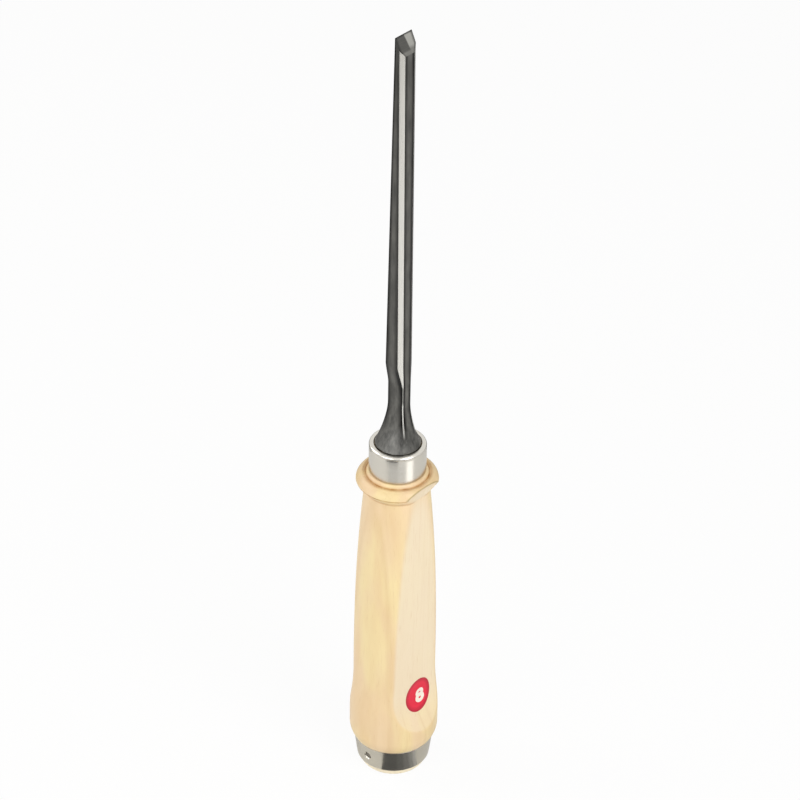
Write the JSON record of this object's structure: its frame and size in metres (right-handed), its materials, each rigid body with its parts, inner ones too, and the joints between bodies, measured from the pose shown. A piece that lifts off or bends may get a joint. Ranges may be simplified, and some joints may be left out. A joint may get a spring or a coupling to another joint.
{
  "type": "wood chisel",
  "caption": "Bevel-edge wood chisel: tanged steel blade with a flared bolster, turned hardwood handle with flats, front ferrule and butt hoop for mallet work.",
  "frame": {"origin": "centre of the flat butt face, on the axis of the handle", "axes": "+Z along the handle's axis towards the cutting edge, -Y towards the bevelled front of the blade, X across the blade's width"},
  "size_m": [0.032, 0.032, 0.3077],
  "materials": {
    "blade_steel": "dark forged and ground tool steel, with a bright ground edge",
    "handle_wood": "pale fine-grained hardwood under clear varnish",
    "ferrule_steel": "bright drawn steel tube with a fine turned finish",
    "hoop_steel": "bright drawn steel hoop",
    "brad_steel": "plain wire nail"
  },
  "bodies": {
    "root": {"blade": "blade_steel", "handle": "handle_wood", "front_ferrule": "ferrule_steel", "butt_hoop": "hoop_steel", "hoop_brad": "brad_steel"}
  },
  "joints": []
}
